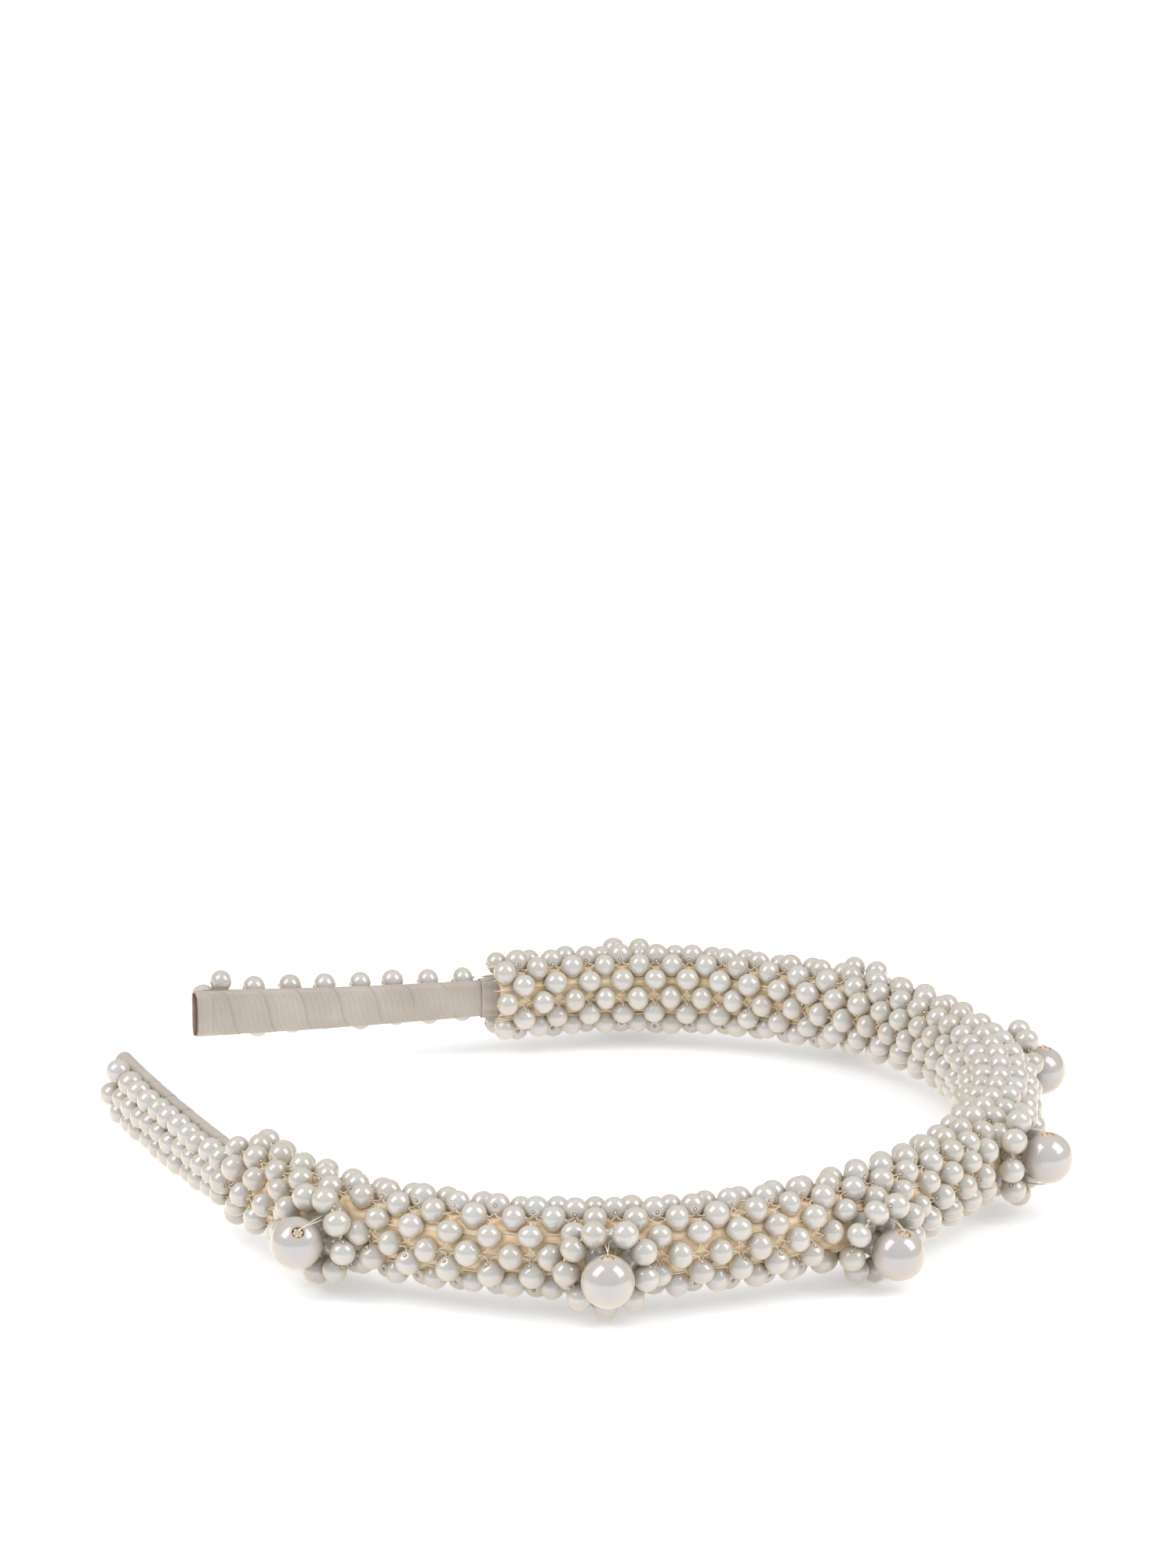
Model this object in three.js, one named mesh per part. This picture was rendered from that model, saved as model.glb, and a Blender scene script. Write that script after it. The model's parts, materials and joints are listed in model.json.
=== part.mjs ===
// A padded headband, sleeved in a woven net of small pearl beads, with seven large pearls set along it.
//
// It lies on its side: +X is the crown, -X the open end, +Y the left arm, -Y the right arm, and +Z runs
// across the band. Everything is laid out along the band's centreline by its arc length u, in mm:
// 0 at the crown, positive towards the left tip, negative towards the right tip.

import * as THREE from 'three';
import { mergeVertices } from 'three/addons/utils/BufferGeometryUtils.js';

// The centreline of one half, from the crown to the tip, as three arcs that meet smoothly.
const crownArc = { radius: 74, length: 48 };
const shoulderArc = { radius: 57.5, length: 92 };
const tipArc = { radius: 740, length: 58 };
const arcs = [crownArc, shoulderArc, tipArc];
const halfBand = crownArc.length + shoulderArc.length + tipArc.length;

// Beads, and the tube that the net of beads makes.
const pearlDiameter = 8;
const beadDiameter = 4;
const netHalfLength = 146.5;          // the net reaches this far each way from the crown
const tubeHalfHeight = 7.65;          // across the band, the way it lies on a table
const tubeHalfThickness = 6.8;        // from the wearer's head outwards
const netWall = 2.1;
const coverWall = 0.45;
const gap = 0.3;                      // between neighbouring pieces

// The springy band inside, and the ribbon wound over its bare ends.
const bandHalfWidth = 2.3;
const bandHalfThickness = 0.6;
const wrapWall = 0.35;
const tipFlare = 1.38;                // the band's ends are this much wider than its middle
const tipRise = 2.8;                  // the slim ends ride this much above the tube's middle

// The seams where the arms flex away from the crown, midway between two large pearls.
const pearlSpacing = 41;
const seam = pearlSpacing / 2;
const seamGap = 2.0;

// How each large pearl sits: its place in the row, and how far it droops around the tube, in degrees.
// Its bore runs across the band, unless the pearl has turned on the net: bearing is the angle from the
// band's run to the bore's upper end, and tilt is how far that end points out from the tube.
const pearlSeats = [
  { name: 'right_3', place: -2.934, droop: 4.5, bearing: 53, tilt: 25 },
  { name: 'right_2', place: -1.905, droop: 7 },
  { name: 'right_1', place: -0.907, droop: 19.5 },
  { name: 'crown', place: 0, droop: 0 },
  { name: 'left_1', place: 1.093, droop: 9 },
  { name: 'left_2', place: 2.05, droop: 6 },
  { name: 'left_3', place: 3, droop: 8 },
];
const pearlStandOff = 4.4;            // the pearl's middle above the tube
const ringRadius = 6.2;               // the ring of beads round a large pearl
const ringBeads = 9;
const ringBulge = 1.4;                // how thick it is where it swells at a bead, from its middle
const boreRadius = 0.9;
const threadRadius = 0.2;

const tubeSides = 12;
const boreSides = 8;
const stepLength = 7;                 // along the band

const pearlLook = { color: 0xf1ebe1, roughness: 0.22, metalness: 0.0 };
const netLook = { color: 0xeee7db, roughness: 0.3, metalness: 0.0 };
const satinLook = { color: 0xd3b083, roughness: 0.5, metalness: 0.0 };
const foamLook = { color: 0xe6dccb, roughness: 0.95, metalness: 0.0 };
const ribbonLook = { color: 0xc9bbae, roughness: 0.55, metalness: 0.0 };
const steelLook = { color: 0x9fa3a6, roughness: 0.35, metalness: 1.0 };
const threadLook = { color: 0xf4f0e6, roughness: 0.6, metalness: 0.0 };

// The point of the centreline at arc length u, with the angle that the band has turned through.
function centreline(u) {
  let left = Math.abs(u);
  let turn = 0;
  let x = 0;
  let y = 0;
  for (const arc of arcs) {
    const step = arc === tipArc ? left : Math.min(left, arc.length);
    const next = turn + step / arc.radius;
    x += arc.radius * (Math.cos(next) - Math.cos(turn));
    y += arc.radius * (Math.sin(next) - Math.sin(turn));
    turn = next;
    left -= step;
  }
  const side = Math.sign(u) || 1;
  return { x, y: side * y, turn: side * turn };
}

// 0 inside the net, rising to 1 at the tip.
function alongTip(u) {
  return Math.max(0, Math.abs(u) - netHalfLength) / (halfBand - netHalfLength);
}

// A frame on the band: X across it (up), Y outwards from the head, Z along it, at the centreline.
function bandFrame(u) {
  const at = centreline(u);
  const up = new THREE.Vector3(0, 0, 1);
  const outward = new THREE.Vector3(Math.cos(at.turn), Math.sin(at.turn), 0);
  const along = new THREE.Vector3().crossVectors(up, outward);
  const height = tubeHalfHeight + tipRise * alongTip(u) ** 1.5;
  return new THREE.Matrix4().makeBasis(up, outward, along).setPosition(at.x, at.y, height);
}

// Bends a straight piece, drawn with its length along Z as arc length, onto the band.
function bendOntoBand(geometry) {
  const place = geometry.getAttribute('position');
  const point = new THREE.Vector3();
  for (let i = 0; i < place.count; i++) {
    point.fromBufferAttribute(place, i);
    const u = point.z;
    point.x *= 1 + (tipFlare - 1) * alongTip(u);
    point.z = 0;
    point.applyMatrix4(bandFrame(u));
    place.setXYZ(i, point.x, point.y, point.z);
  }
  return geometry;
}

// Sections are drawn with x across the band and y outwards.
function ovalPoints(halfHeight, halfThickness, sides) {
  const points = [];
  for (let i = 0; i < sides; i++) {
    const angle = ((i + 0.5) / sides) * 2 * Math.PI;
    const reach = 1 / Math.cos(Math.PI / sides);
    points.push(new THREE.Vector2(
      halfHeight * reach * Math.cos(angle),
      halfThickness * reach * Math.sin(angle),
    ));
  }
  return points;
}

function boxPoints(low, high) {
  return [
    new THREE.Vector2(low.x, low.y),
    new THREE.Vector2(high.x, low.y),
    new THREE.Vector2(high.x, high.y),
    new THREE.Vector2(low.x, high.y),
  ];
}

// A strip with its corners cut, as a wound ribbon rounds them.
function ribbonPoints(halfHeight, halfThickness) {
  const corner = halfThickness * 0.6;
  return [
    new THREE.Vector2(halfHeight, -halfThickness + corner),
    new THREE.Vector2(halfHeight, halfThickness - corner),
    new THREE.Vector2(halfHeight - corner, halfThickness),
    new THREE.Vector2(-halfHeight + corner, halfThickness),
    new THREE.Vector2(-halfHeight, halfThickness - corner),
    new THREE.Vector2(-halfHeight, -halfThickness + corner),
    new THREE.Vector2(-halfHeight + corner, -halfThickness),
    new THREE.Vector2(halfHeight - corner, -halfThickness),
  ];
}

// A section, with a hole or without, run along the band from one arc length to another.
function runAlongBand(outline, hole, from, to) {
  const shape = new THREE.Shape(outline);
  if (hole) {
    shape.holes.push(new THREE.Path(hole));
  }
  const geometry = new THREE.ExtrudeGeometry(shape, {
    depth: to - from,
    steps: Math.max(1, Math.round((to - from) / stepLength)),
    bevelEnabled: false,
  });
  geometry.translate(0, 0, from);
  return bendOntoBand(geometry);
}

function addPiece(group, name, look, geometry, matrix = null) {
  geometry.deleteAttribute('normal');
  geometry.deleteAttribute('uv');
  const merged = mergeVertices(geometry);
  if (matrix) {
    merged.applyMatrix4(matrix);
  }
  merged.computeVertexNormals();
  const mesh = new THREE.Mesh(merged, new THREE.MeshStandardMaterial(look));
  mesh.name = name;
  group.add(mesh);
}

// The stretches between the seams and the ends: one on the crown and one on each arm.
const stretches = [
  { name: 'crown', from: -seam + seamGap / 2, to: seam - seamGap / 2 },
  { name: 'left', from: seam + seamGap / 2, to: netHalfLength },
  { name: 'right', from: -netHalfLength, to: -seam - seamGap / 2 },
];

// The padded tube: bead net over satin over foam, each a sleeve on the one inside it.
function addTube(group) {
  const boreEase = 0.7;               // how loosely the foam sits on the spring band
  const netBore = { height: tubeHalfHeight - netWall, thickness: tubeHalfThickness - netWall };
  const cover = { height: netBore.height - gap, thickness: netBore.thickness - gap };
  const coverBore = { height: cover.height - coverWall, thickness: cover.thickness - coverWall };
  const foam = { height: coverBore.height - gap, thickness: coverBore.thickness - gap };
  const foamBore = { height: bandHalfWidth + boreEase, thickness: bandHalfThickness + boreEase };
  const inset = 0.6;                  // the padding stops just short of the net's ends
  for (const { name, from, to } of stretches) {
    const low = name === 'right' ? from + inset : from;
    const high = name === 'left' ? to - inset : to;
    addPiece(group, `bead_net_${name}`, netLook, runAlongBand(
      ovalPoints(tubeHalfHeight, tubeHalfThickness, tubeSides),
      ovalPoints(netBore.height, netBore.thickness, tubeSides), from, to));
    addPiece(group, `satin_cover_${name}`, satinLook, runAlongBand(
      ovalPoints(cover.height, cover.thickness, tubeSides),
      ovalPoints(coverBore.height, coverBore.thickness, tubeSides), low, high));
    addPiece(group, `foam_padding_${name}`, foamLook, runAlongBand(
      ovalPoints(foam.height, foam.thickness, tubeSides),
      ovalPoints(foamBore.height, foamBore.thickness, boreSides), low, high));
  }
}

// The flat spring band that everything is built on, from tip to tip.
function addCoreBand(group) {
  const section = boxPoints(
    new THREE.Vector2(-bandHalfWidth, -bandHalfThickness),
    new THREE.Vector2(bandHalfWidth, bandHalfThickness),
  );
  const ends = { crown: {}, left: { to: halfBand }, right: { from: -halfBand } };
  for (const stretch of stretches) {
    const { name, from, to } = { ...stretch, ...ends[stretch.name] };
    addPiece(group, `core_band_${name}`, steelLook, runAlongBand(section, null, from, to));
  }
}

// What covers a bare end: wound ribbon, the gathered turn where the net starts, the folded ribbon end
// and the flat strip of beads on the outer face.
function addTip(group, name, side) {
  const wrapHalfHeight = bandHalfWidth + gap + wrapWall;
  const wrapHalfThickness = bandHalfThickness + gap + wrapWall;
  const wrapStart = netHalfLength + gap;
  const wrapEnd = halfBand + 0.2;
  const wrap = ribbonPoints(wrapHalfHeight, wrapHalfThickness);
  const wrapBore = ribbonPoints(bandHalfWidth + gap, bandHalfThickness + gap);
  const run = (outline, hole, near, far) => (side > 0
    ? runAlongBand(outline, hole, near, far)
    : runAlongBand(outline, hole, -far, -near));
  addPiece(group, `ribbon_wrap_${name}`, ribbonLook, run(wrap, wrapBore, wrapStart, wrapEnd));

  const collarLength = 3.2;
  const collarBulge = 1.1;            // past the wound ribbon
  addPiece(group, `ribbon_gather_${name}`, ribbonLook, run(
    ovalPoints(wrapHalfHeight + collarBulge, wrapHalfThickness + collarBulge, tubeSides),
    ribbonPoints(wrapHalfHeight + gap, wrapHalfThickness + gap),
    wrapStart, wrapStart + collarLength));

  addRibbonEnd(group, name, side, wrapHalfHeight * tipFlare, wrapHalfThickness);

  const stripInner = wrapHalfThickness + gap + wrapWall + gap;
  const stripOuter = wrapHalfThickness + beadDiameter;
  const stripHalfHeight = 4;          // past the ribbon's edges
  addPiece(group, `bead_strip_${name}`, netLook, run(
    boxPoints(
      new THREE.Vector2(-stripHalfHeight, stripInner),
      new THREE.Vector2(stripHalfHeight, stripOuter),
    ),
    null, wrapStart + collarLength + gap, halfBand + 1.2));
}

// The ribbon's end, folded over the tip: a U seen along the band's width, open towards the crown.
function addRibbonEnd(group, name, side, halfHeight, wrapHalfThickness) {
  const innerLeg = 6;
  const outerLeg = 3;
  const inside = wrapHalfThickness + gap;
  const outside = inside + wrapWall;
  const fold = gap + 0.2;             // from the band's end to the inside of the fold
  const outline = new THREE.Shape([
    new THREE.Vector2(-outside, -innerLeg),
    new THREE.Vector2(-inside, -innerLeg),
    new THREE.Vector2(-inside, fold),
    new THREE.Vector2(inside, fold),
    new THREE.Vector2(inside, -outerLeg),
    new THREE.Vector2(outside, -outerLeg),
    new THREE.Vector2(outside, fold + wrapWall),
    new THREE.Vector2(-outside, fold + wrapWall),
  ]);
  const geometry = new THREE.ExtrudeGeometry(outline, { depth: 2 * halfHeight, bevelEnabled: false });
  geometry.translate(0, 0, -halfHeight);
  // Drawn as (outwards, along, across); turned to (across, outwards, along).
  const turn = new THREE.Matrix4().makeBasis(
    new THREE.Vector3(0, 1, 0),
    new THREE.Vector3(0, 0, 1),
    new THREE.Vector3(1, 0, 0),
  );
  const halfTurn = new THREE.Matrix4().makeRotationY(side > 0 ? 0 : Math.PI);
  const seat = bandFrame(side * halfBand).multiply(halfTurn).multiply(turn);
  addPiece(group, `ribbon_end_${name}`, ribbonLook, geometry, seat);
}

// A frame on the tube's outer face for one large pearl, raised above the centreline by its distance, and
// turned to its bearing.
function pearlSeat({ place, droop, bearing = 90 }, distance) {
  const frame = bandFrame(place * pearlSpacing);
  const lean = new THREE.Matrix4().makeRotationZ(THREE.MathUtils.degToRad(droop));
  const lift = new THREE.Matrix4().makeTranslation(0, distance, 0);
  const turn = new THREE.Matrix4().makeRotationY(THREE.MathUtils.degToRad(bearing));
  return frame.multiply(lean).multiply(lift).multiply(turn);
}

// A bored pearl, turned about its own bore.
function pearlGeometry({ tilt = 0 }) {
  const radius = pearlDiameter / 2;
  const first = Math.asin(boreRadius / radius);
  const rings = 9;
  const profile = [];
  for (let i = 0; i <= rings; i++) {
    const angle = first + (i / rings) * (Math.PI - 2 * first);
    profile.push(new THREE.Vector2(radius * Math.sin(angle), -radius * Math.cos(angle)));
  }
  profile.push(profile[0].clone());
  const around = 16;
  return new THREE.LatheGeometry(profile, around)
    .rotateX(Math.PI / 2)
    .rotateX(-THREE.MathUtils.degToRad(tilt));
}

// The ring of beads that frames a large pearl: a torus that swells at each bead.
function ringGeometry() {
  const waist = 0.62;                 // between two beads, as a share of the bulge
  const aroundTube = 6;
  const perBead = 3;
  const geometry = new THREE.TorusGeometry(ringRadius, ringBulge, aroundTube, ringBeads * perBead);
  const place = geometry.getAttribute('position');
  const point = new THREE.Vector3();
  const middle = new THREE.Vector3();
  for (let i = 0; i < place.count; i++) {
    point.fromBufferAttribute(place, i);
    const angle = Math.atan2(point.y, point.x);
    middle.set(ringRadius * Math.cos(angle), ringRadius * Math.sin(angle), 0);
    const swell = waist + (1 - waist) * Math.cos((ringBeads * angle) / 2) ** 2;
    point.sub(middle).multiplyScalar(swell).add(middle);
    place.setXYZ(i, point.x, point.y, point.z);
  }
  return geometry.rotateX(Math.PI / 2);
}

// The thread that holds a large pearl: through its bore and down to the net on both sides.
function pearlThreadGeometry({ tilt = 0 }) {
  const legReach = pearlDiameter / 2 + 0.4;
  const legDepth = pearlStandOff + 0.5;
  const mouth = pearlDiameter / 2 - 0.1;
  const half = (side) => {
    const angle = side * THREE.MathUtils.degToRad(tilt);
    const alongBore = (reach) => (
      new THREE.Vector3(0, reach * Math.sin(angle), side * reach * Math.cos(angle))
    );
    const top = alongBore(mouth).y - 0.5;
    return [
      new THREE.Vector3(0, -legDepth, side * legReach),
      new THREE.Vector3(0, (top - legDepth) / 2, side * legReach),
      new THREE.Vector3(0, top, side * legReach),
      alongBore(mouth + 0.15),
      alongBore(mouth - 0.9),
    ];
  };
  const path = new THREE.CatmullRomCurve3([...half(1), ...half(-1).reverse()], false, 'centripetal');
  const section = new THREE.Shape(ovalPoints(threadRadius, threadRadius, 5));
  const steps = 18;
  return new THREE.ExtrudeGeometry(section, { extrudePath: path, steps });
}

function addPearls(group) {
  const pearlHeight = tubeHalfThickness + pearlStandOff;
  const ringHeight = tubeHalfThickness + gap + ringBulge;
  for (const seat of pearlSeats) {
    const { name } = seat;
    addPiece(group, `pearl_${name}`, pearlLook, pearlGeometry(seat), pearlSeat(seat, pearlHeight));
    addPiece(group, `pearl_ring_${name}`, netLook, ringGeometry(), pearlSeat(seat, ringHeight));
    addPiece(group, `pearl_thread_${name}`, threadLook, pearlThreadGeometry(seat),
      pearlSeat(seat, pearlHeight));
  }
}

const headband = new THREE.Group();
addCoreBand(headband);
addTube(headband);
addTip(headband, 'left', 1);
addTip(headband, 'right', -1);
addPearls(headband);

// Stand it on Z = 0, with its middle over the origin.
const box = new THREE.Box3().setFromObject(headband);
headband.position.set(-(box.min.x + box.max.x) / 2, -(box.min.y + box.max.y) / 2, -box.min.z);

export default headband;
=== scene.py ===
"""The looks of the pearl headband, built round its CAD frame: every bead of the net, the strands between
them, the satin and foam under it, the ribbon over the tips, and the large pearls in their rings.

Everything is laid out along the band's centreline by its arc length u, in metres: 0 at the crown, positive
towards the left tip. Out from the head is n, and up, across the band, is h."""

import itertools
import json
import math

import bmesh
import bpy
import numpy as np
from mathutils import Matrix, Vector
from mathutils.kdtree import KDTree


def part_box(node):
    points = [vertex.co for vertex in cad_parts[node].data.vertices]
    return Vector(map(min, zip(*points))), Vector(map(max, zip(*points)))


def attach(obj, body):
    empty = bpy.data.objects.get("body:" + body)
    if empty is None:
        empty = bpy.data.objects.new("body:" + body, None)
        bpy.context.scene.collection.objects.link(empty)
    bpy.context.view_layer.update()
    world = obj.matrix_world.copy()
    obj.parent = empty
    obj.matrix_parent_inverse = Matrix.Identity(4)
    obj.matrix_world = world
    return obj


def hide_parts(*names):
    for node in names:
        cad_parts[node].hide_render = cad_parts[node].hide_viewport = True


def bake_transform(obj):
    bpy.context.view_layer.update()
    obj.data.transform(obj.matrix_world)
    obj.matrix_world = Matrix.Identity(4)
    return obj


MM = 0.001

# Beads and the net.
BEAD_RADIUS = 2.0 * MM
BEAD_BORE = 0.14                    # the drill hole's radius, as a share of the bead's
PEARL_BORE = 0.23
NET_ROWS = 12                       # round the tube
NET_UNIT = 5.5 * MM                 # along the band, at the crown
NET_UNITS_EACH_WAY = 25
BARE_END_LENGTH = 50.5 * MM         # from the end of the net to the end of the CAD centreline
BEADS_PROUD_UP = 0.2 * MM           # how far the beads stand out from the CAD net's outer face
BEADS_PROUD_OUT = 0.3 * MM
BEAD_SIZE_SPREAD = 0.03
BEAD_PLACE_SPREAD = 0.13 * MM
BEAD_PLACE_LIMIT = 0.3 * MM
BEAD_BORE_SPREAD = 0.09
BEAD_LENGTH = 0.94                  # along its bore, as a share of its width
BEAD_ROOM = 1.96 * BEAD_RADIUS      # beads are eased apart to this, from middle to middle
BEAD_OFF_RING = 1.35 * BEAD_RADIUS  # nearer to a ring's bead than this, the net has none
STRAND_OFF_RING = 1.86 * BEAD_RADIUS
STRAND_RADIUS = 0.1 * MM
PLUG_RADIUS = 0.21 * MM             # all the turns of thread together, in a bead's bore

# The rings that frame the large pearls.
RING_BEADS = 9
RING_RADIUS = 6.0 * MM
RING_ABOVE_TUBE = 0.7 * MM          # the middles of its beads above the tube's outer face
RING_SAG = 0.7 * MM                 # where it wraps down over the tube's sides
RING_BEAD_SIZE = 1.03
PEARL_STRAND_RADIUS = 0.08 * MM
PEARL_BUNDLE_STRAND_RADIUS = 0.29 * MM
PEARL_BUNDLE_RADIUS = 0.55 * MM

# The bare ends, and the weave on them. The two arms of the real one are a little uneven.
TIP_REACH = {"left": 1.6 * MM, "right": -2.4 * MM}  # past the end of the CAD centreline
STRIP_UNITS = {"left": 8, "right": 11}
STRIP_STOP = {"left": 2.4 * MM, "right": 4.0 * MM}  # how far in from the tip it ends
STRIP_HALF_HEIGHT = 2.8 * MM
STRIP_FROM_NET = 0.8 * MM
STRIP_DEPTH = 1.35 * MM + 0.92 * BEAD_RADIUS  # its beads' middles out from the centreline
STRIP_EDGE_DEPTH = -0.3 * MM  # the edge rows, from that depth
STRIP_CROSS_DEPTH = 0.15 * MM  # the beads between them
STRIP_TIP_LIFT = {"left": 1.25 * MM, "right": 0.0}  # the upper edge row, where it nears the tip
STRIP_WIDENS = 0.2  # by this share at the tip
STRIP_DROOP = {"left": -0.1 * MM, "right": 0.8 * MM}  # how far it hangs below the ribbon's middle line
LOOSE_BEADS = {  # at a tip: how far in from it, and how far up
    "left": [(2.4 * MM, 2.0 * MM)],
    "right": [(3.1 * MM, -1.6 * MM), (5.4 * MM, 2.9 * MM)],
}
GATHER_LENGTH = 7.0 * MM
GATHER_SHOWS = {"left": 1.6 * MM, "right": 3.6 * MM}  # how much of it comes out from the net
GATHER_BUNCH = {"left": 0.3 * MM, "right": 1.1 * MM}

# Ribbon, padding and spring band.
RIBBON_WIDTH = 10 * MM
RIBBON_THICKNESS = 0.12 * MM
RIBBON_PITCH = 6.5 * MM
WRAP_GIRTH = 18.5 * MM              # one turn of the wound ribbon
WRAP_HALF_THICKNESS = 1.02 * MM
WRAP_HALF_HEIGHT = 2.9 * MM
WRAP_WIDENS = 0.85 * MM             # by this at the tip
SATIN_THICKNESS = 0.2 * MM
SATIN_GIRTH = 33 * MM
FOAM_BORE_HALF_HEIGHT = 2.95 * MM
FOAM_BORE_HALF_THICKNESS = 1.35 * MM
SPRING_BAND_HALF_HEIGHT = 2.3 * MM
SPRING_BAND_HALF_THICKNESS = 0.55 * MM
SPRING_BAND_WIDENS = 0.3            # by this share at the tip
FLEX_REACH = 10 * MM                # how far to each side of an arm's hinge flex reaches; nothing is bent by it

# The camera, as the photographer stood: round from the near arm's side, above the table.
CAMERA_AZIMUTH = 21.29
CAMERA_ELEVATION = 18.4
CAMERA_DISTANCE = 0.894
CAMERA_LENS = 127.1
CAMERA_TARGET_BACK = 68.8 * MM      # from the crown into the middle of the headband
CAMERA_PITCH_UP = 3.765             # so that the headband lies low in the picture
CAMERA_PAN = -0.22
CAMERA_ROLL = -0.31

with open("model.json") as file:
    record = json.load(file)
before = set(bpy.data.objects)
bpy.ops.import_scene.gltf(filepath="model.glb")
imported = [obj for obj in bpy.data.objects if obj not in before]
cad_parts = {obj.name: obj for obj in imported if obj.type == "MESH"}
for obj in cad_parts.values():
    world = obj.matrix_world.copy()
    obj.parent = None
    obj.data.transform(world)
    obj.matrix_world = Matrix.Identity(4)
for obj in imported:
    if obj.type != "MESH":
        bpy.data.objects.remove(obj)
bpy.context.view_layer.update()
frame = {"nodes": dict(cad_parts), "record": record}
chance = np.random.default_rng(7)


# -------- the band's line, from the CAD frame

def node_points(name):
    """The separate corner points of a CAD node."""
    corners = np.array([v.co for v in frame["nodes"][name].data.vertices], float)
    return np.unique(np.round(corners, 6), axis=0)


class Band:
    """The centreline, read from the sections of the spring band inside, four corners in each."""

    def __init__(self, fine=10):
        points = np.concatenate([node_points(f"core_band_{part}") for part in ("right", "crown", "left")])
        order = np.argsort(np.arctan2(points[:, 1], points[:, 0]))
        sections = points[order].reshape(-1, 4, 3).mean(axis=1)
        steps = np.linalg.norm(np.diff(sections, axis=0), axis=1)
        length = np.concatenate([[0], np.cumsum(steps)])
        slope = np.gradient(sections, length, axis=0)
        dense = [sections[:1]]
        for i, step in enumerate(steps):
            t = (np.arange(1, fine + 1) / fine)[:, None]
            dense.append(
                (2 * t**3 - 3 * t**2 + 1) * sections[i]
                + (t**3 - 2 * t**2 + t) * step * slope[i]
                + (3 * t**2 - 2 * t**3) * sections[i + 1]
                + (t**3 - t**2) * step * slope[i + 1]
            )
        self.points = np.concatenate(dense)
        steps = np.linalg.norm(np.diff(self.points, axis=0), axis=1)
        length = np.concatenate([[0], np.cumsum(steps)])
        self.half = length[-1] / 2
        self.length = length - self.half
        self.heading = np.gradient(self.points, self.length, axis=0)

    def frame(self, u):
        """The centreline's points at u, with the outward and along directions there."""
        u = np.asarray(u, float)
        inside = np.clip(u, -self.half, self.half)
        centre = np.stack([np.interp(inside, self.length, self.points[:, k]) for k in range(3)], -1)
        along = np.stack([np.interp(inside, self.length, self.heading[:, k]) for k in range(3)], -1)
        along[..., 2] = 0
        along /= np.linalg.norm(along, axis=-1, keepdims=True)
        outward = np.stack([along[..., 1], -along[..., 0], np.zeros(u.shape)], -1)
        centre = centre + along * (u - inside)[..., None]
        return centre, outward, along

    def place(self, u, n, h):
        """The points at u along the band, n outwards and h upwards."""
        centre, outward, _ = self.frame(u)
        up = np.zeros(centre.shape)
        up[..., 2] = 1
        return centre + outward * np.asarray(n)[..., None] + up * np.asarray(h)[..., None]

    def nearest(self, point):
        """The arc length of the centreline's point nearest to a point."""
        flat = self.points[:, :2] - np.asarray(point)[:2]
        return self.length[np.argmin((flat**2).sum(axis=1))]


band = Band()
UP = np.array([0.0, 0.0, 1.0])

net_low, net_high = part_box("bead_net_crown")
TUBE_HALF_HEIGHT = (net_high.z - net_low.z) / 2
TUBE_HALF_THICKNESS = net_high.x - band.frame(0)[0][0]
NET_HALF_LENGTH = band.half - BARE_END_LENGTH

# From the centreline to the middles of the net's beads.
BEAD_RING_HEIGHT = TUBE_HALF_HEIGHT + BEADS_PROUD_UP - BEAD_RADIUS
BEAD_RING_THICKNESS = TUBE_HALF_THICKNESS + BEADS_PROUD_OUT - BEAD_RADIUS


def arm_side(side):
    """The sign of the arc length on an arm."""
    return 1 if side == "left" else -1


def joint(name):
    """A joint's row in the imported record."""
    return next(j for j in frame["record"]["behaviour"]["joints"] if j["name"] == name)


# -------- meshes

def make_mesh(name, points, quads, material, values=None, weave=None):
    """A smooth mesh object. values are named numbers, one a point; weave is a UV map in metres."""
    mesh = bpy.data.meshes.new(name)
    mesh.from_pydata(np.asarray(points, float).tolist(), [], np.asarray(quads).tolist())
    mesh.polygons.foreach_set("use_smooth", [True] * len(mesh.polygons))
    for key, numbers in (values or {}).items():
        attribute = mesh.attributes.new(key, "FLOAT", "POINT")
        attribute.data.foreach_set("value", np.asarray(numbers, np.float32))
    if weave is not None:
        layer = mesh.uv_layers.new(name="weave")
        corner = np.zeros(len(mesh.loops), np.int32)
        mesh.loops.foreach_get("vertex_index", corner)
        layer.data.foreach_set("uv", np.asarray(weave, np.float32)[corner].ravel())
    mesh.materials.append(material)
    mesh.update()
    piece = bpy.data.objects.new(name, mesh)
    bpy.context.scene.collection.objects.link(piece)
    return piece


def grid_quads(rows, columns, closed_rows=False, closed_columns=False):
    """Quads over a grid of points stored row by row."""
    r = np.arange(rows if closed_rows else rows - 1)
    c = np.arange(columns if closed_columns else columns - 1)
    r, c = (a.ravel() for a in np.meshgrid(r, c, indexing="ij"))
    r1, c1 = (r + 1) % rows, (c + 1) % columns
    return np.stack([r * columns + c, r * columns + c1, r1 * columns + c1, r1 * columns + c], axis=1)


def full_turn(count):
    """Angles evenly round a circle."""
    return np.arange(count) / count * 2 * math.pi


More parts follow.
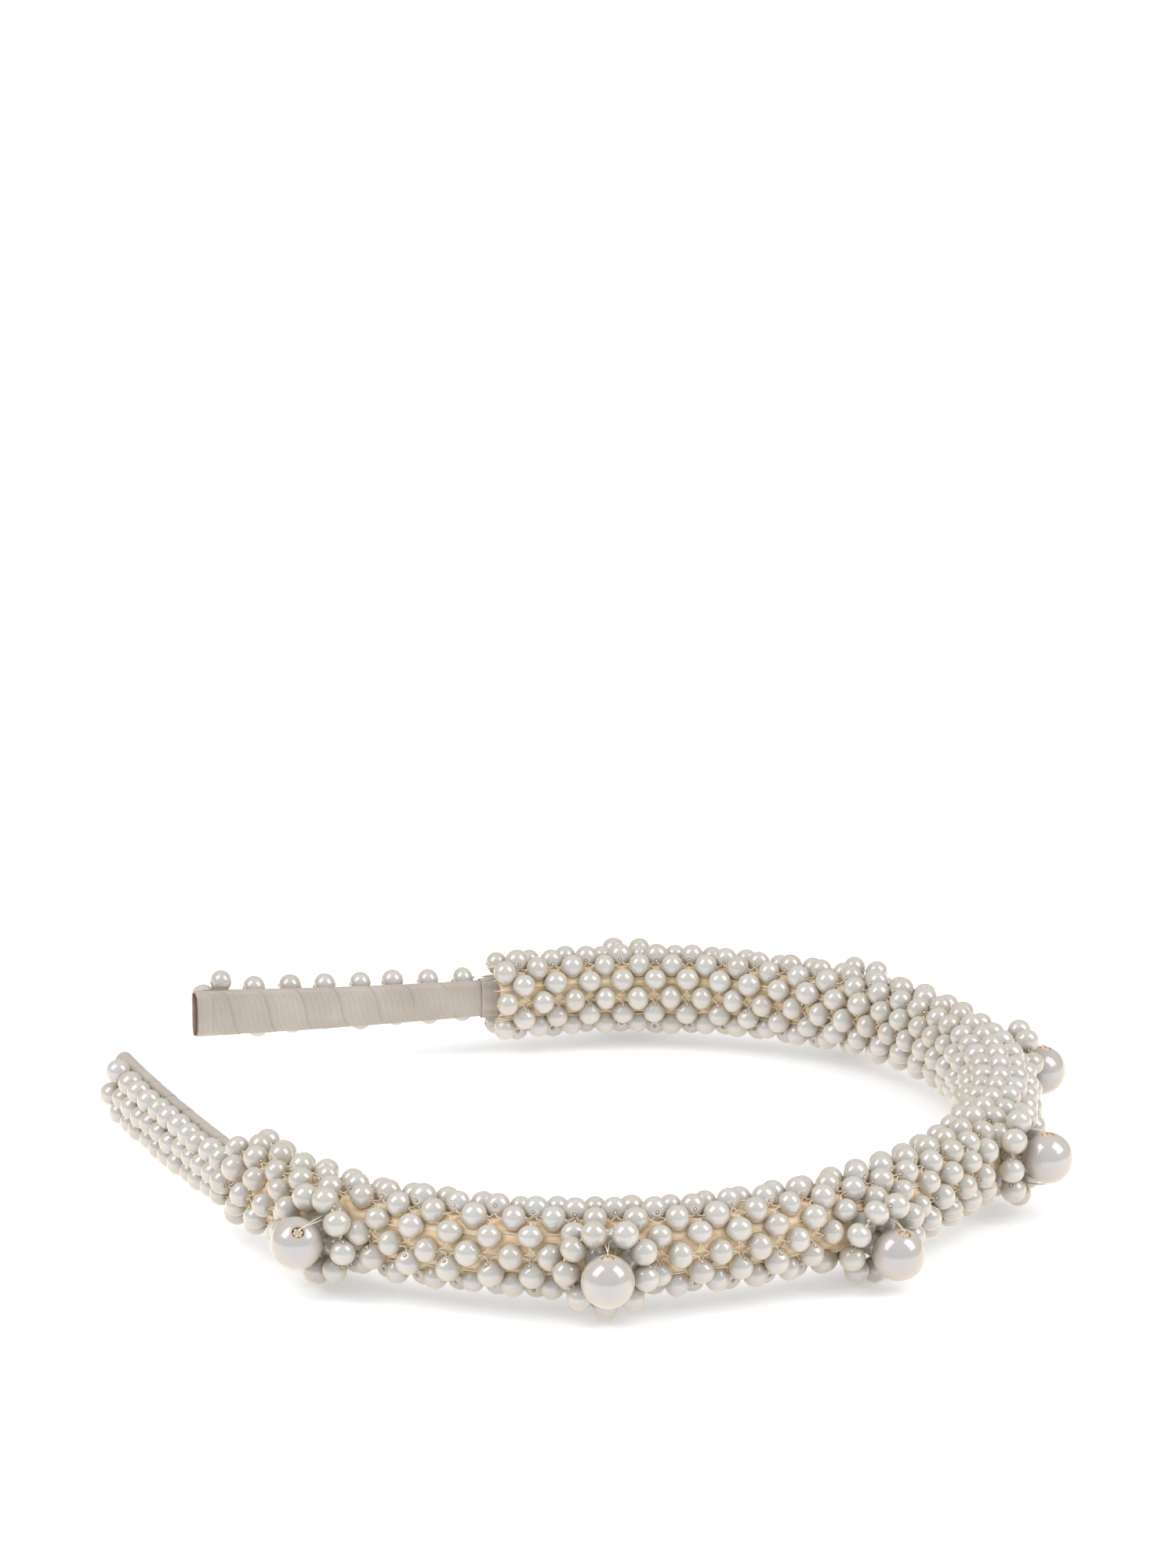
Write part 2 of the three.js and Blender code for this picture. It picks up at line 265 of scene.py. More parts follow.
def bored_ball(around, rings, bore):
    """A ball of radius 1 with a hole drilled along Z: points, quads, and 1 for each point in the hole."""
    lip = 0.05
    first = math.asin(bore) + lip
    angles = np.linspace(first, math.pi - first, rings)
    outside = np.stack([np.sin(angles), -np.cos(angles)], axis=1)
    mouth = math.cos(math.asin(bore)) - lip * 0.7
    narrow, deep = bore * 0.98, mouth * 0.8
    wall = np.array([[bore, mouth], [narrow, deep], [narrow, -deep], [bore, -mouth]])
    profile = np.concatenate([outside, wall])
    turn = full_turn(around)
    x = profile[:, :1] * np.cos(turn)
    y = profile[:, :1] * np.sin(turn)
    z = np.repeat(profile[:, 1:], around, axis=1)
    points = np.stack([x, y, z], axis=-1).reshape(-1, 3)
    in_bore = np.repeat(np.arange(len(profile)) >= rings, around).astype(float)
    return points, grid_quads(len(profile), around, True, True), in_bore


def basis_from(axis, towards):
    """Right-handed frames, with Z along each axis and X as near as can be to towards."""
    axis = axis / np.linalg.norm(axis, axis=-1, keepdims=True)
    x = towards - axis * (towards * axis).sum(axis=-1, keepdims=True)
    x /= np.linalg.norm(x, axis=-1, keepdims=True)
    return np.stack([x, np.cross(axis, x), axis], axis=-1)


def bead_mesh(name, beads, material, around=20, rings=11):
    """All these beads as one piece."""
    shape, quads, in_bore = bored_ball(around, rings, BEAD_BORE)
    places = np.array([b["place"] for b in beads])
    axes = np.array([b["bore"] for b in beads])
    radii = np.array([b["radius"] for b in beads])
    frames = basis_from(axes, np.array([0.31, 0.52, 0.8]))
    squash = np.stack([b["oval"] for b in beads])
    local = shape[None] * squash[:, None, :] * radii[:, None, None]
    points = np.einsum("bij,bvj->bvi", frames, local) + places[:, None, :]
    every = (quads[None] + (np.arange(len(beads)) * len(shape))[:, None, None]).reshape(-1, 4)
    values = {
        "bore": np.tile(in_bore, len(beads)),
        "tint": np.repeat([b["tint"] for b in beads], len(shape)),
    }
    return make_mesh(name, points.reshape(-1, 3), every, material, values)


def bead(place, bore, size=1.0):
    """One small bead, a little off its size, place and roundness, as real ones are."""
    stray = chance.normal(0, BEAD_PLACE_SPREAD, 3).clip(-BEAD_PLACE_LIMIT, BEAD_PLACE_LIMIT)
    return {
        "place": np.asarray(place) + stray,
        "bore": np.asarray(bore) + chance.normal(0, BEAD_BORE_SPREAD, 3),
        "radius": BEAD_RADIUS * size * (1 + chance.normal(0, BEAD_SIZE_SPREAD)),
        "oval": np.array([1, 1 + chance.normal(0, 0.02), BEAD_LENGTH + chance.normal(0, 0.03)]),
        "tint": chance.random(),
    }


def strand_mesh(name, paths, radii, sides=6):
    """Thread along each path, with the same number of points in every path, and a radius for each. The ends
    close nearly to a point."""
    paths = np.array(paths)
    count, steps = paths.shape[:2]
    heading = np.gradient(paths, axis=1)
    frames = basis_from(heading, np.array([0.23, 0.41, 0.88]))
    turn = full_turn(sides)
    width = np.ones(steps)
    width[[0, -1]] = 0.05
    width = np.array(radii)[:, None] * width
    ring = np.stack([np.cos(turn), np.sin(turn), np.zeros(sides)], axis=1)
    local = ring * width[:, :, None, None]
    points = np.einsum("ptij,ptsj->ptsi", frames, local) + paths[:, :, None, :]
    quads = grid_quads(steps, sides, False, True)
    every = (quads[None] + (np.arange(count) * steps * sides)[:, None, None]).reshape(-1, 4)
    return make_mesh(name, points.reshape(-1, 3), every, thread)


# -------- materials

def new_material(name, **numbers):
    """A material with its Principled shader, these sockets set on it."""
    material = bpy.data.materials.new(name)
    material.use_nodes = True
    shader = material.node_tree.nodes["Principled BSDF"]
    for key, value in numbers.items():
        shader.inputs[key.replace("_", " ")].default_value = value
    return material, material.node_tree, shader


def add_node(tree, kind, inputs=None, **settings):
    """A node with these settings; each input is a number, a colour or another node's socket."""
    node = tree.nodes.new(kind)
    for key, value in settings.items():
        setattr(node, key, value)
    for key, value in (inputs or {}).items():
        if isinstance(value, bpy.types.NodeSocket):
            tree.links.new(value, node.inputs[key])
        else:
            node.inputs[key].default_value = value
    return node


def noise(tree, scale, detail, roughness=0.5):
    """Cloudy noise over the piece, with about scale clouds to a metre."""
    where = add_node(tree, "ShaderNodeTexCoord").outputs["Object"]
    inputs = {"Vector": where, "Scale": scale, "Detail": detail, "Roughness": roughness}
    return add_node(tree, "ShaderNodeTexNoise", inputs).outputs["Fac"]


def ramp(tree, fac, stops):
    """A colour ramp over these (place, colour) stops."""
    node = add_node(tree, "ShaderNodeValToRGB", {"Fac": fac})
    elements = node.color_ramp.elements
    while len(elements) < len(stops):
        elements.new(0.5)
    for element, (place, colour) in zip(elements, stops):
        element.position = place
        element.color = (*colour, 1)
    return node.outputs["Color"]


def mix_colour(tree, fac, first, second, blend="MIX"):
    """Two colours mixed by a factor; each may be a socket."""
    node = add_node(tree, "ShaderNodeMix", data_type="RGBA", blend_type=blend)
    for key, value in (("Factor", fac), ("A", first), ("B", second)):
        socket = next(s for s in node.inputs if s.name == key and s.enabled)
        if isinstance(value, bpy.types.NodeSocket):
            tree.links.new(value, socket)
        else:
            socket.default_value = value
    return next(s for s in node.outputs if s.enabled)


def remap(tree, value, low, high):
    """A value between 0 and 1, spread from low to high."""
    inputs = {"Value": value, "To Min": low, "To Max": high}
    return add_node(tree, "ShaderNodeMapRange", inputs).outputs["Result"]


def bump(tree, height, distance, strength, normal=None):
    """A bumped normal, on top of another one if that is given."""
    inputs = {"Height": height, "Distance": distance, "Strength": strength}
    if normal is not None:
        inputs["Normal"] = normal
    return add_node(tree, "ShaderNodeBump", inputs).outputs["Normal"]


def attribute(tree, name):
    """A number that the mesh carries at each point."""
    return add_node(tree, "ShaderNodeAttribute", attribute_name=name).outputs["Fac"]


def link_looks(tree, shader, colour, roughness, normal):
    """Brings these three sockets into the shader."""
    tree.links.new(colour, shader.inputs["Base Color"])
    tree.links.new(roughness, shader.inputs["Roughness"])
    tree.links.new(normal, shader.inputs["Normal"])


def pearl_material(name, tones, roughness):
    """Nacre over a bead: a cream body under a clear coat, with a little metallic lustre. Tan in the bore."""
    material, tree, shader = new_material(
        name, Metallic=0.2, IOR=1.7, Coat_Weight=1.0, Coat_Roughness=0.05, Coat_IOR=1.5,
        Subsurface_Weight=0.25, Subsurface_Radius=(0.9, 0.7, 0.5), Subsurface_Scale=0.001,
        Thin_Film_Thickness=330.0, Thin_Film_IOR=1.35,
    )
    tone = ramp(tree, attribute(tree, "tint"), tones)
    cloud = noise(tree, 190, 2, 0.5)
    blush = ramp(tree, cloud, [(0.3, (1.0, 0.965, 0.965)), (0.5, (1, 1, 1)), (0.7, (0.975, 0.985, 0.95))])
    nacre = mix_colour(tree, 0.8, tone, blush, "MULTIPLY")
    inside = mix_colour(tree, attribute(tree, "bore"), nacre, (0.62, 0.44, 0.26, 1))
    gloss = remap(tree, noise(tree, 900, 3), roughness - 0.05, roughness + 0.05)
    ripple = bump(tree, noise(tree, 500, 2, 0.5), 0.02 * MM, 0.2)
    link_looks(tree, shader, inside, gloss, ripple)
    return material


def cloth_weave(tree, threads_per_metre):
    """The height of a satin weave on the weave map: long floats crossed by fine threads."""
    where = add_node(tree, "ShaderNodeUVMap", uv_map="weave").outputs["UV"]
    both = {"Vector": where, "Detail": 2.0}
    long_inputs = both | {"Scale": threads_per_metre / 20, "Distortion": 0.6, "Detail Scale": 3.0}
    cross_inputs = both | {"Scale": threads_per_metre / 26, "Distortion": 0.8}
    long_threads = add_node(tree, "ShaderNodeTexWave", long_inputs, bands_direction="Y").outputs["Fac"]
    cross_threads = add_node(tree, "ShaderNodeTexWave", cross_inputs, bands_direction="X").outputs["Fac"]
    low = add_node(tree, "ShaderNodeMath", {0: cross_threads, 1: 0.4}, operation="MULTIPLY").outputs[0]
    return add_node(tree, "ShaderNodeMath", {0: long_threads, 1: low}, operation="ADD").outputs[0]


def satin_material():
    """The tan satin stretched over the foam, seen between the beads, with shade painted into the grooves of
    its weave.
    """
    material, tree, shader = new_material(
        "tan_satin", Sheen_Weight=0.25, Sheen_Roughness=0.4, Sheen_Tint=(1, 0.9, 0.75, 1), IOR=1.48
    )
    weave = cloth_weave(tree, 5200)
    worn = noise(tree, 160, 5, 0.6)
    tans = [(0.25, (0.84, 0.58, 0.33)), (0.5, (0.90, 0.69, 0.45)), (0.78, (0.94, 0.80, 0.61))]
    colour = ramp(tree, worn, tans)
    # painted shade: the weave's grooves are coloured darker, as shade between its threads
    weave_groove_shade = ramp(tree, weave, [(0.2, (0.72, 0.68, 0.64)), (0.9, (1, 1, 1))])
    threads = mix_colour(tree, 0.35, colour, weave_groove_shade, "MULTIPLY")
    crumpled = bump(tree, noise(tree, 700, 4, 0.6), 0.15 * MM, 0.6)
    woven = bump(tree, weave, 0.03 * MM, 0.6, crumpled)
    link_looks(tree, shader, threads, remap(tree, worn, 0.38, 0.6), woven)
    return material


def ribbon_material():
    """The beige satin ribbon, brown and brittle where its raw end was sealed, with shade painted into the
    grooves of its weave.
    """
    material, tree, shader = new_material(
        "beige_ribbon", Sheen_Weight=0.35, Sheen_Roughness=0.35, Sheen_Tint=(1, 0.96, 0.93, 1), IOR=1.5
    )
    weave = cloth_weave(tree, 6000)
    cloud = noise(tree, 140, 4, 0.55)
    beiges = [(0.25, (0.42, 0.365, 0.315)), (0.55, (0.475, 0.415, 0.36)), (0.8, (0.53, 0.48, 0.43))]
    colour = ramp(tree, cloud, beiges)
    # painted shade: the weave's grooves are coloured darker, as shade between its threads
    weave_groove_shade = ramp(tree, weave, [(0.2, (0.8, 0.77, 0.74)), (0.9, (1, 1, 1))])
    threads = mix_colour(tree, 0.25, colour, weave_groove_shade, "MULTIPLY")
    char = attribute(tree, "char")
    frayed = remap(tree, noise(tree, 900, 4), -0.3, 0.3)
    ragged = add_node(tree, "ShaderNodeMath", {0: char, 1: frayed}, operation="ADD").outputs[0]
    burnt = ramp(tree, ragged, [(0.35, (1, 1, 1)), (0.6, (0.72, 0.45, 0.26)), (0.85, (0.16, 0.07, 0.035))])
    charred = mix_colour(tree, 1.0, threads, burnt, "MULTIPLY")
    creased = bump(tree, noise(tree, 260, 4, 0.5), 0.2 * MM, 0.5)
    woven = bump(tree, weave, 0.02 * MM, 0.5, creased)
    link_looks(tree, shader, charred, remap(tree, cloud, 0.36, 0.52), woven)
    return material


def thread_material():
    """The pale beading thread."""
    material, tree, shader = new_material(
        "beading_thread", IOR=1.5, Sheen_Weight=0.1, Subsurface_Weight=0.1, Subsurface_Scale=0.0005
    )
    cloud = noise(tree, 600, 3)
    colour = ramp(tree, cloud, [(0.3, (0.74, 0.62, 0.45)), (0.7, (0.86, 0.79, 0.66))])
    fibres = bump(tree, noise(tree, 5000, 2), 0.02 * MM, 0.6)
    link_looks(tree, shader, colour, remap(tree, cloud, 0.3, 0.45), fibres)
    return material


def foam_material():
    """The cream foam under the satin, full of small cells, with shade painted into their pits."""
    material, tree, shader = new_material("foam", IOR=1.45, Sheen_Weight=0.2)
    where = add_node(tree, "ShaderNodeTexCoord").outputs["Object"]
    cells = add_node(tree, "ShaderNodeTexVoronoi", {"Vector": where, "Scale": 2600}).outputs["Distance"]
    # painted shade: darker where the cells dip in
    colour = ramp(tree, cells, [(0.1, (0.62, 0.56, 0.47)), (0.5, (0.86, 0.81, 0.72))])
    pitted = bump(tree, cells, 0.1 * MM, 0.8)
    link_looks(tree, shader, colour, remap(tree, cells, 0.8, 1.0), pitted)
    return material


def steel_material():
    """The scratched steel of the spring band."""
    material, tree, shader = new_material("spring_steel", Metallic=1.0)
    scratches = noise(tree, 300, 6, 0.7)
    colour = ramp(tree, scratches, [(0.3, (0.46, 0.47, 0.48)), (0.7, (0.60, 0.61, 0.62))])
    scratched = bump(tree, scratches, 0.01 * MM, 0.4)
    link_looks(tree, shader, colour, remap(tree, scratches, 0.25, 0.45), scratched)
    return material


# The tint that a bead drew, from 0 to 1, and its colour.
SMALL_TONES = [
    (0.0, (0.615, 0.585, 0.50)),
    (0.35, (0.645, 0.625, 0.545)),
    (0.6, (0.655, 0.645, 0.585)),
    (0.85, (0.655, 0.625, 0.565)),
    (1.0, (0.635, 0.625, 0.545)),
]
LARGE_TONES = [(0.0, (0.57, 0.55, 0.495)), (1.0, (0.59, 0.57, 0.52))]

small_pearl = pearl_material("small_pearl", SMALL_TONES, 0.16)
large_pearl = pearl_material("large_pearl", LARGE_TONES, 0.15)
satin = satin_material()
ribbon = ribbon_material()
thread = thread_material()
foam = foam_material()
steel = steel_material()


# -------- camera, light and table

def make_camera():
    """At the photographer's place, turned so that the headband lies low and central in the picture."""
    crown = band.frame(0)[0]
    target = Vector((crown[0] - CAMERA_TARGET_BACK, crown[1], net_low.z))
    azimuth = math.radians(CAMERA_AZIMUTH)
    elevation = math.radians(CAMERA_ELEVATION)
    back = Vector((
        math.sin(azimuth) * math.cos(elevation),
        -math.cos(azimuth) * math.cos(elevation),
        math.sin(elevation),
    ))
    aim = (-back).to_track_quat("-Z", "Y").to_matrix().to_4x4()
    turn = (
        Matrix.Rotation(math.radians(CAMERA_PITCH_UP), 4, "X")
        @ Matrix.Rotation(math.radians(CAMERA_PAN), 4, "Y")
        @ Matrix.Rotation(math.radians(CAMERA_ROLL), 4, "Z")
    )
    data = bpy.data.cameras.new("camera")
    data.lens = CAMERA_LENS
    data.sensor_width = 36
    data.clip_start = 0.01
    camera = bpy.data.objects.new("camera", data)
    camera.matrix_world = Matrix.Translation(target + back * CAMERA_DISTANCE) @ aim @ turn
    bpy.context.scene.collection.objects.link(camera)
    bpy.context.scene.camera = camera


def make_lamp(name, kind, direction, distance, power, **settings):
    """A lamp out along a direction, shining back at the headband."""
    data = bpy.data.lights.new(name, kind)
    data.energy = power
    for key, value in settings.items():
        setattr(data, key, value)
    lamp = bpy.data.objects.new(name, data)
    lamp.location = Vector(direction).normalized() * distance
    lamp.rotation_euler = Vector(direction).to_track_quat("Z", "Y").to_euler()
    bpy.context.scene.collection.objects.link(lamp)
    return lamp


def make_soft_box(name, direction, power, width, height):
    size = {"shape": "RECTANGLE", "size": width, "size_y": height}
    make_lamp(name, "AREA", direction, distance=0.9, power=power, **size)


def make_studio():
    """A white table under two soft boxes, in a dim grey room. The overhead light leaves no reflection."""
    reach = 9.0
    corners = [(-reach, -reach, 0), (reach, -reach, 0), (reach, reach, 0), (-reach, reach, 0)]
    white, _, _ = new_material(
        "white_table", Base_Color=(0.88, 0.88, 0.88, 1), Roughness=0.9, IOR=1.2,
        Emission_Color=(1, 1, 1, 1), Emission_Strength=0.3,
    )
    floor = make_mesh("table", corners, [(0, 1, 2, 3)], white)
    make_soft_box("left_box", (-0.48, -0.46, 0.75), power=2.6, width=0.46, height=0.68)
    make_soft_box("right_box", (0.71, 0.02, 0.70), power=2.8, width=0.50, height=0.66)
    above = (0.0, -0.25, 1.0)
    overhead = make_lamp("overhead", "SUN", above, distance=1.2, power=0.9, angle=math.radians(120))
    overhead.visible_glossy = False
    world = bpy.data.worlds.new("room")
    world.use_nodes = True
    background = world.node_tree.nodes["Background"]
    background.inputs["Color"].default_value = (0.96, 0.97, 1.0, 1)
    background.inputs["Strength"].default_value = 0.54
    bpy.context.scene.world = world
    bpy.context.scene.view_settings.view_transform = "Standard"


# -------- where the large pearls sit

def find_seats():
    """Where each large pearl sits: its place, and the directions there, out of the band and along it."""
    seats = []
    for node in sorted(frame["nodes"]):
        if not node.startswith("pearl_") or node.startswith(("pearl_ring_", "pearl_thread_")):
            continue
        low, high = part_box(node)
        middle = np.array((low + high) / 2)
        u = band.nearest(middle)
        centre, _, along = band.frame(u)
        out = middle - centre
        out -= along * (out @ along)
        out /= np.linalg.norm(out)
        name = node.removeprefix("pearl_")
        side = name.split("_")[0]
        seats.append({
            "name": name,
            "body": "crown" if side == "crown" else f"{side}_arm",
            "middle": middle,
            "radius": (high.z - low.z) / 2,
            "u": u,
            "centre": centre,
            "out": out,
            "along": along,
            "across": np.cross(out, along),
            "bore": np.array(joint(f"pearl_{name}_turn")["axis"]),
        })
    return seats


seats = find_seats()
PEARL_RADIUS = max(seat["radius"] for seat in seats) * 1.01         # the CAD ball's facets cut it short


# -------- the net of small beads

ROW_STEP = 2 * math.pi / NET_ROWS


def net_place(i):
    """Arc length of the net's unit i: the weave is a little looser towards its ends."""
    last = NET_HALF_LENGTH - BEAD_RADIUS
    loosening = (last - NET_UNIT * NET_UNITS_EACH_WAY) / NET_UNITS_EACH_WAY**2
    return NET_UNIT * i + loosening * i * abs(i)


def tube_point(u, angle, grow=0.0):
    """A point at the beads' depth on the tube; the angle is from straight out, turning up."""
    n = (BEAD_RING_THICKNESS + grow) * np.cos(angle)
    h = (BEAD_RING_HEIGHT + grow) * np.sin(angle)
    return band.place(np.asarray(u, float), n, h)


def around_direction(u, angle):
    """The direction round the tube at a point of it."""
    _, outward, _ = band.frame(u)
    return -outward * math.sin(angle) + UP * math.cos(angle)


def ring_beads(seat):
    """The beads of the ring round a large pearl."""
    start = chance.random() * 2 * math.pi
    height = TUBE_HALF_THICKNESS + RING_ABOVE_TUBE
    beads = []
    for k in range(RING_BEADS):
        angle = start + k / RING_BEADS * 2 * math.pi + chance.normal(0, 0.03)
        radius = RING_RADIUS * (1 + chance.normal(0, 0.02))
        flat = seat["along"] * math.cos(angle) + seat["across"] * math.sin(angle)
        sag = RING_SAG * math.sin(angle) ** 2
        place = seat["centre"] + seat["out"] * (height - sag) + flat * radius
        tangent = -seat["along"] * math.sin(angle) + seat["across"] * math.cos(angle)
        beads.append(bead(place, tangent, RING_BEAD_SIZE))
    return beads


def clear_of_rings(place, rings, apart):
    """Whether a place stays off the large pearls, and this far off the middles of the rings' beads."""
    for seat, beads in rings:
        if np.linalg.norm(place - seat["middle"]) < PEARL_RADIUS + apart / 2:
            return False
        if any(np.linalg.norm(place - b["place"]) < apart for b in beads):
            return False
    return True


def net_sites():
    """Every place of the weave: its unit along the band, its angle round the tube, and whether its bore
    runs along the band. Every other row stands half a unit aside."""
    sites = []
    for row in range(NET_ROWS):
        angle = row * ROW_STEP
        odd = row % 2
        for column in range(-NET_UNITS_EACH_WAY, NET_UNITS_EACH_WAY + 1 - odd):
            sites.append((column + 0.5 * odd, angle, not odd))
    return sites


def net_beads(rings):
    """The net's beads, by the half of the band that they lie on. Those that a ring only brushes stay, and
    are eased aside."""
    beads = []
    for i, angle, runs_along in net_sites():
        u = net_place(i)
        place = tube_point(u, angle)
        if clear_of_rings(place, rings, BEAD_OFF_RING):
            bore = band.frame(u)[2] if runs_along else around_direction(u, angle)
            beads.append(bead(place, bore) | {"u": u, "angle": angle})
    ease_apart(beads, rings)
    return {
        "left": [b for b in beads if b["u"] >= 0],
        "right": [b for b in beads if b["u"] < 0],
    }


def ease_apart(beads, rings, rounds=40):
    """Slides beads over the tube until they hardly sink into each other, the rings or the large pearls."""
    u = np.array([b["u"] for b in beads])
    angle = np.array([b["angle"] for b in beads])
    strays = np.array([b["place"] for b in beads]) - tube_point(u, angle)
    ring_places = [b["place"] for _, ring in rings for b in ring]
    fixed = np.array(ring_places + [seat["middle"] for seat, _ in rings])
    room = np.full(len(beads) + len(fixed), BEAD_ROOM)
    room[-len(rings):] = PEARL_RADIUS + BEAD_RADIUS
    gentle = 0.4                     # the share of each overlap that a round takes away
    itself = 1e-6                    # nearer than this, it is the bead itself
    for _ in range(rounds):
        places = tube_point(u, angle) + strays
        away = places[:, None] - np.concatenate([places, fixed])[None]
        distance = np.linalg.norm(away, axis=2) + 1e-9
        sunk = np.where(distance < itself, 0, np.clip(room - distance, 0, None))
        push = (away * (gentle * sunk / distance)[..., None]).sum(axis=1)
        _, outward, along = band.frame(u)
        upwards = -outward * np.sin(angle)[:, None] + UP * np.cos(angle)[:, None]
        u = u + (push * along).sum(axis=1)
        angle = angle + (push * upwards).sum(axis=1) / BEAD_RING_HEIGHT
    for b, place in zip(beads, tube_point(u, angle) + strays):
        b["place"] = place


def crossing_strands(u, angle, reach):
    """Four short turns of thread, each from a bead along the band to one round the tube."""
    bend = np.array([1.0, 0.62, 0.25, 0.08, 0.02])
    dip = np.array([0, -0.6, -1, -0.6, 0])
    paths = []
    for sideways in (-1, 1):
        for round_way in (-1, 1):
            lift = chance.normal(0.3, 0.1) * MM * dip
            angles = angle + round_way * ROW_STEP * 0.55 * bend[::-1]
            paths.append(tube_point(u + sideways * reach * bend, angles, lift))
    return paths


def open_strands(u, angle, reach):
    """Two fine lines of thread, over an open square of the weave."""
    span = np.linspace(-1, 1, 5)
    paths = []
    for k in range(2):
        sway = chance.normal(0, 0.09) + (k - 0.5) * 0.16
        slant = chance.normal(0, 0.04) * span
        depth = chance.uniform(-0.75, -0.35) * MM
        paths.append(tube_point(u + reach * 1.3 * span, angle + (sway + slant), depth))
    return paths


def net_strands(rings):
    """Thread in the weave, at each crossing and over each open square between the beads."""
    halves = {"left": [], "right": []}
    for row in range(NET_ROWS):
        angle = row * ROW_STEP
        crossing = row % 2 == 0
        for column in range(-NET_UNITS_EACH_WAY, NET_UNITS_EACH_WAY + 1 - crossing):
            i = column + 0.5 * crossing
            u = net_place(i)
            if not clear_of_rings(tube_point(u, angle), rings, STRAND_OFF_RING):
                continue
            reach = (net_place(i + 0.5) - u) * 0.62
            strands = crossing_strands if crossing else open_strands
            halves["left" if u >= 0 else "right"] += strands(u, angle, reach)
    return halves


def bore_strands(beads):
    """The thread through each bead, which shows at both mouths of its bore."""
    paths = []
    for b in beads:
        axis = b["bore"] / np.linalg.norm(b["bore"]) * b["radius"]
        paths.append(b["place"] + np.array([-1.05, -0.95, 0, 0.95, 1.05])[:, None] * axis)
    return paths


def bead_thread(name, paths, beads):
    """One piece of these strands, and of the thread in these beads' bores."""
    plugs = bore_strands(beads)
    radii = [STRAND_RADIUS] * len(paths) + [PLUG_RADIUS] * len(plugs)
    return strand_mesh(name, paths + plugs, radii)


def strand_between(first, second):
    """Thread over the gap between two beads."""
    t = np.linspace(0.3, 0.7, 5)[:, None]
    return first["place"] * (1 - t) + second["place"] * t


def ring_strands(beads):
    """Thread from bead to bead round a ring."""
    return [strand_between(first, second) for first, second in zip(beads, beads[1:] + beads[:1])]


def add_net(side, beads, strands):
    """The net of one half, and its thread."""
    net = bead_mesh(f"net_beads_{side}", beads, small_pearl)
    flex(net, side)
    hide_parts(f"bead_net_{side}", "bead_net_crown")
    net_thread = bead_thread(f"net_thread_{side}", strands, beads)
    flex(net_thread, side)


# -------- satin and foam

def padding_surface(halves, side, inset):
    """The padded tube of one half: pressed in under each bead and puffed out between them."""
    beads = halves["left"] + halves["right"]
    tree = KDTree(len(beads))
    for index, b in enumerate(beads):
        tree.insert(b["place"], index)
    tree.balance()
    step = 0.55 * MM
    steps = int(NET_HALF_LENGTH / step)
    around = 72
    short = 1.2 * MM                 # of the net's end
    us = arm_side(side) * np.linspace(0, NET_HALF_LENGTH - short, steps)
    angles = full_turn(around)
    pressed = 1.0 * MM               # how far a bead presses its spot in
    spot = 0.95 * BEAD_RADIUS
    puffed = 0.45 * MM               # the puffed cloth's depth below the beads' middles
    taper = 5 * MM                   # towards its end the tube draws in over this length, by this much
    drawn_in = 1.6 * MM
    points = np.zeros((steps, around, 3))
    for r, u in enumerate(us):
        end = max(0.0, (abs(u) - (NET_HALF_LENGTH - taper)) / taper)
        shrink = drawn_in * end**2
        level = tube_point(np.full(around, u), angles, -puffed)
        for c in range(around):
            distance = tree.find(level[c])[2]
            dip = pressed * math.exp(-((distance / spot) ** 2) * 0.8)
            points[r, c] = tube_point(u, angles[c], -puffed - dip - shrink - inset)
    return points, us, angles


def closed_sleeve(outer, inner):
    """A sleeve, in rows along the band: there on its outer surface, back on its inner one, and closed."""
    rows, around = outer.shape[:2]
    points = np.concatenate([outer, inner[::-1]]).reshape(-1, 3)
    return points, grid_quads(2 * rows, around, True, True)


def oval_rows(us, angles, half_thickness, half_height):
    """Rings of points on an oval tube round the centreline."""
    u, a = np.meshgrid(us, angles, indexing="ij")
    return band.place(u, half_thickness * np.cos(a), half_height * np.sin(a))


def outward_facing(piece):
    """Turns the faces of a closed piece so that they all face out."""
    shape = bmesh.new()
    shape.from_mesh(piece.data)
    bmesh.ops.recalc_face_normals(shape, faces=shape.faces)
    shape.to_mesh(piece.data)
    shape.free()
    return piece


def flex(piece, side):
    """Bakes the piece's placing into its mesh. Where the bending round the arm's hinge would start and end
    is worked out, but nothing bends with the arm.
    """
    seam = abs(band.nearest(joint(f"{side}_arm_flex")["pos_m"]))
    start = band.place(arm_side(side) * (seam - FLEX_REACH), 0, 0)
    end = band.place(arm_side(side) * (seam + FLEX_REACH), 0, 0)
    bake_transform(piece)


def add_satin(halves, side):
    """The satin cover under one half of the net."""
    outer, us, angles = padding_surface(halves, side, 0)
    inner, _, _ = padding_surface(halves, side, SATIN_THICKNESS)
    points, quads = closed_sleeve(outer, inner)
    girth = angles / (2 * math.pi) * SATIN_GIRTH
    weave = np.stack(np.meshgrid(us, girth, indexing="ij"), axis=-1)
    weave = np.concatenate([weave, weave[::-1]]).reshape(-1, 2)
    cover = outward_facing(make_mesh(f"satin_sleeve_{side}", points, quads, satin, weave=weave))
    flex(cover, side)
    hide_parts(f"satin_cover_{side}", "satin_cover_crown")


def add_foam(halves, side):
    """The foam between the satin and the spring band, in rows twice as far apart as the satin's."""
    clearance = 0.06 * MM
    skin, us, angles = padding_surface(halves, side, SATIN_THICKNESS + clearance)
    skin, us = skin[::2], us[::2]
    bore = oval_rows(us, angles, FOAM_BORE_HALF_THICKNESS, FOAM_BORE_HALF_HEIGHT)
    pad = outward_facing(make_mesh(f"foam_pad_{side}", *closed_sleeve(skin, bore), foam))
    flex(pad, side)
    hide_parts(f"foam_padding_{side}", "foam_padding_crown")


